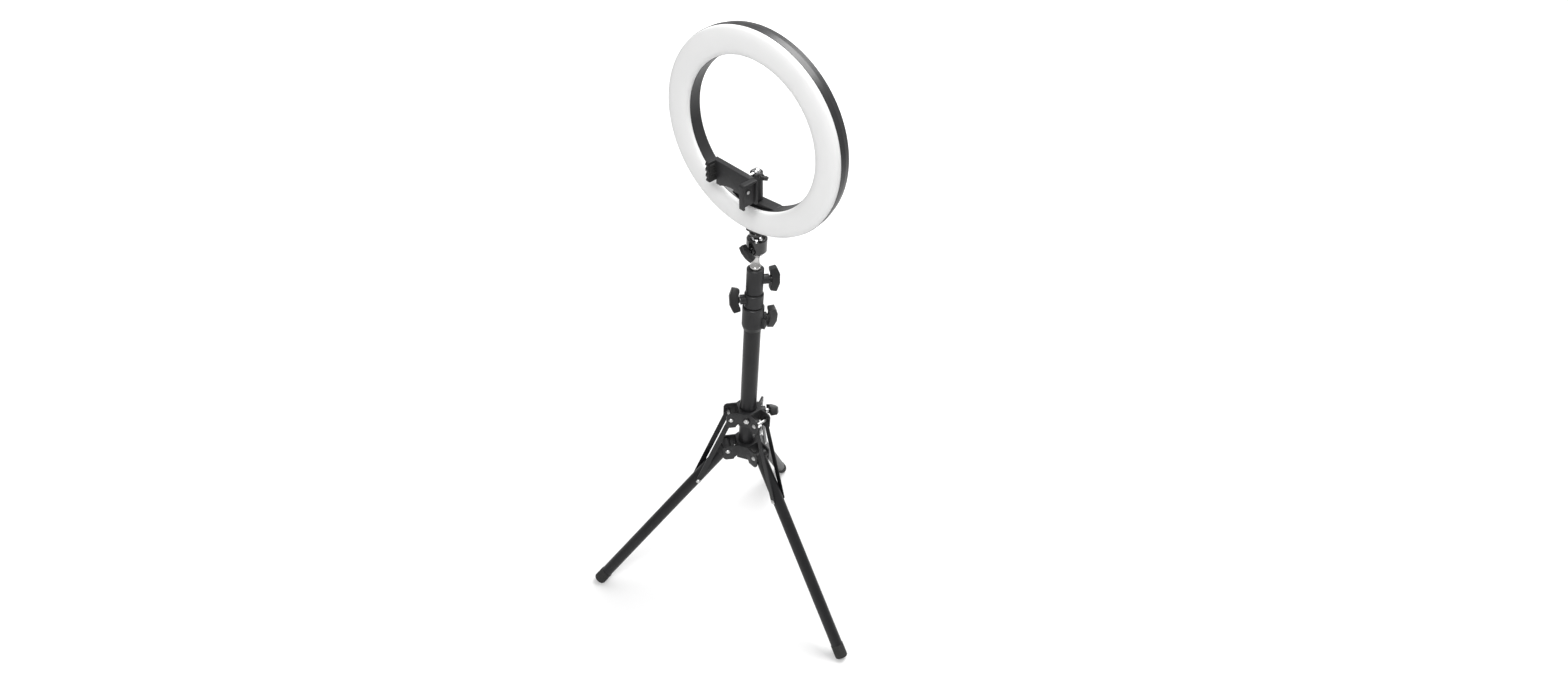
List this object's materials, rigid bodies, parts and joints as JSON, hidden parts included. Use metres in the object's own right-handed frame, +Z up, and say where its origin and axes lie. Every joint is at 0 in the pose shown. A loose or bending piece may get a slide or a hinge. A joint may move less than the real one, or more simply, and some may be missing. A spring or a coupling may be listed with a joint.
{
  "type": "ring light on tripod stand",
  "caption": "Tilting ring lamp with a sprung phone clamp, on a ball head and a telescoping column with a folding tripod base.",
  "frame": {"origin": "centre of the footprint on the floor, under the three rubber feet", "axes": "+Z up along the column, the ring lamp faces -Y, +X to the right seen from behind the lamp"},
  "size_m": [0.4387, 0.4699, 1.0339],
  "materials": {
    "housing_plastic": "satin black moulded plastic",
    "diffuser_plastic": "matte white translucent plastic",
    "board_white": "white solder mask",
    "led_yellow": "phosphor",
    "tube_black": "satin black anodised",
    "casting_black": "fine-textured black plastic",
    "knob_black": "satin black plastic",
    "head_black": "glossy black anodised",
    "chrome": "polished",
    "spigot_metal": "machined",
    "steel": "zinc plated",
    "rubber": "black rubber",
    "clamp_plastic": "matte black plastic"
  },
  "bodies": {
    "stand_base": {"lower_hub": "casting_black", "outer_tube": "tube_black", "collar_1": "casting_black", "bottom_plug": "casting_black", "leg_pins": "steel"},
    "runner": {"runner_hub": "casting_black", "runner_screw": "steel"},
    "runner_lock": {"runner_knob": "knob_black", "runner_knob_screw": "steel"},
    "section_1": {"middle_tube": "tube_black", "collar_2": "casting_black"},
    "section_2": {"inner_tube": "tube_black", "collar_3": "casting_black"},
    "section_3": {"top_tube": "tube_black", "spigot": "spigot_metal"},
    "lock_1": {"knob_1": "knob_black", "knob_screw_1": "steel"},
    "lock_2": {"knob_2": "knob_black", "knob_screw_2": "steel"},
    "lock_3": {"knob_3": "knob_black", "knob_screw_3": "steel"},
    "head": {"head_shell": "head_black"},
    "head_lock": {"head_knob": "knob_black", "head_knob_screw": "steel"},
    "ball": {"head_ball": "chrome"},
    "ring": {"mount_stem": "head_black", "ring_bracket": "housing_plastic", "ring_housing": "housing_plastic", "housing_screws": "steel", "inlet_socket": "steel", "diffuser": "diffuser_plastic", "led_board": "board_white", "board_posts": "housing_plastic", "led_chips": "led_yellow", "accessory_block": "housing_plastic"},
    "mini_head": {"mini_head_shell": "clamp_plastic"},
    "mini_lock": {"mini_head_knob": "knob_black", "mini_head_screw": "steel"},
    "mini_stud": {"mini_ball": "chrome"},
    "clamp": {"clamp_back": "clamp_plastic", "fixed_pad": "rubber", "jaw_spring": "steel"},
    "jaw": {"clamp_jaw": "clamp_plastic", "jaw_pad": "rubber", "jaw_screw": "steel"},
    "leg_1": {"leg_tube_1": "tube_black", "leg_fitting_1": "casting_black", "leg_foot_1": "rubber"},
    "brace_arm_1": {"brace_1": "tube_black", "brace_pins_1": "steel"},
    "leg_2": {"leg_tube_2": "tube_black", "leg_fitting_2": "casting_black", "leg_foot_2": "rubber"},
    "brace_arm_2": {"brace_2": "tube_black", "brace_pins_2": "steel"},
    "leg_3": {"leg_tube_3": "tube_black", "leg_fitting_3": "casting_black", "leg_foot_3": "rubber"},
    "brace_arm_3": {"brace_3": "tube_black", "brace_pins_3": "steel"}
  },
  "joints": [
    {"name": "runner_slide", "type": "slide", "parent": "stand_base", "child": "runner", "axis": [0, 0, 1], "range_m": [0, 0.1563]},
    {"name": "runner_lock_turn", "type": "hinge", "parent": "runner", "child": "runner_lock", "pos_m": [-0.02626, 0.01522, 0.38], "axis": [0.606, 0.7955, 0], "continuous": true},
    {"name": "leg_fold_1", "type": "hinge", "parent": "stand_base", "child": "leg_1", "pos_m": [-0.0711, -0.04365, 0.308], "axis": [-0.7955, 0.606, 0], "range_deg": [-1, 137.91]},
    {"name": "brace_fold_1", "type": "hinge", "parent": "runner", "child": "brace_arm_1", "pos_m": [-0.06929, -0.04126, 0.378], "axis": [-0.7955, 0.606, 0], "range_deg": [-17.6, 1]},
    {"name": "leg_fold_2", "type": "hinge", "parent": "stand_base", "child": "leg_2", "pos_m": [-0.01678, -0.02092, 0.308], "axis": [-0.1271, -0.9919, 0], "range_deg": [-1, 137.91]},
    {"name": "brace_fold_2", "type": "hinge", "parent": "runner", "child": "brace_arm_2", "pos_m": [-0.01975, -0.02054, 0.378], "axis": [-0.1271, -0.9919, 0], "range_deg": [-17.6, 1]},
    {"name": "leg_fold_3", "type": "hinge", "parent": "stand_base", "child": "leg_3", "pos_m": [-0.06362, 0.01477, 0.308], "axis": [0.9225, 0.3859, 0], "range_deg": [-1, 137.91]},
    {"name": "brace_fold_3", "type": "hinge", "parent": "runner", "child": "brace_arm_3", "pos_m": [-0.06246, 0.012, 0.378], "axis": [0.9225, 0.3859, 0], "range_deg": [-17.6, 1]},
    {"name": "section_1_slide", "type": "slide", "parent": "stand_base", "child": "section_1", "axis": [0, 0, 1], "range_m": [0, 0.25]},
    {"name": "section_2_slide", "type": "slide", "parent": "section_1", "child": "section_2", "axis": [0, 0, 1], "range_m": [0, 0.25]},
    {"name": "section_3_slide", "type": "slide", "parent": "section_2", "child": "section_3", "axis": [0, 0, 1], "range_m": [0, 0.25]},
    {"name": "lock_1_turn", "type": "hinge", "parent": "stand_base", "child": "lock_1", "pos_m": [-0.03353, 0.00567, 0.573], "axis": [0.606, 0.7955, 0], "continuous": true},
    {"name": "lock_2_turn", "type": "hinge", "parent": "section_1", "child": "lock_2", "pos_m": [-0.06747, -0.03887, 0.609], "axis": [-0.606, -0.7955, 0], "continuous": true},
    {"name": "lock_3_turn", "type": "hinge", "parent": "section_2", "child": "lock_3", "pos_m": [-0.03353, 0.00567, 0.643], "axis": [0.606, 0.7955, 0], "continuous": true},
    {"name": "head_pan", "type": "hinge", "parent": "section_3", "child": "head", "pos_m": [-0.0505, -0.0166, 0.7], "axis": [0, 0, 1], "continuous": true},
    {"name": "head_lock_turn", "type": "hinge", "parent": "head", "child": "head_lock", "pos_m": [-0.04841, -0.04051, 0.7005], "axis": [0.0872, -0.9962, 0], "continuous": true},
    {"name": "ball_nod", "type": "hinge", "parent": "head", "child": "ball", "pos_m": [-0.0505, -0.0166, 0.709], "axis": [1, 0, 0], "range_deg": [-25, 20]},
    {"name": "ball_roll", "type": "hinge", "parent": "ball", "child": "ring", "pos_m": [-0.0505, -0.0166, 0.709], "axis": [0, 0.9972, 0.075], "range_deg": [-20, 20]},
    {"name": "mini_pan", "type": "hinge", "parent": "ring", "child": "mini_head", "pos_m": [-0.0505, -0.02531, 0.82487], "axis": [0, -0.075, 0.9972], "range_deg": [-20, 20]},
    {"name": "mini_lock_turn", "type": "hinge", "parent": "mini_head", "child": "mini_lock", "pos_m": [-0.0366, -0.02679, 0.82175], "axis": [0.9925, -0.1215, -0.0091], "continuous": true},
    {"name": "mini_tilt", "type": "hinge", "parent": "mini_head", "child": "mini_stud", "pos_m": [-0.0505, -0.02531, 0.82487], "axis": [-0.9925, 0.1215, 0.0091], "range_deg": [0, 60]},
    {"name": "clamp_turn", "type": "hinge", "parent": "mini_stud", "child": "clamp", "pos_m": [-0.0544, -0.05699, 0.82249], "axis": [0.1219, 0.9898, 0.0744], "range_deg": [0, 90]},
    {"name": "jaw_slide", "type": "slide", "parent": "clamp", "child": "jaw", "axis": [0.9925, -0.1215, -0.0091], "range_m": [0, 0.027], "stiffness_N_per_m": 180, "springref_m": -0.012, "deforming": ["jaw_spring"]}
  ],
  "couplings": [
    {"joint": "leg_fold_1", "follows": "runner_slide", "rad_per_m": 15.288},
    {"joint": "brace_fold_1", "follows": "runner_slide", "rad_per_m": -1.854},
    {"joint": "leg_fold_2", "follows": "runner_slide", "rad_per_m": 15.288},
    {"joint": "brace_fold_2", "follows": "runner_slide", "rad_per_m": -1.854},
    {"joint": "leg_fold_3", "follows": "runner_slide", "rad_per_m": 15.288},
    {"joint": "brace_fold_3", "follows": "runner_slide", "rad_per_m": -1.854}
  ]
}
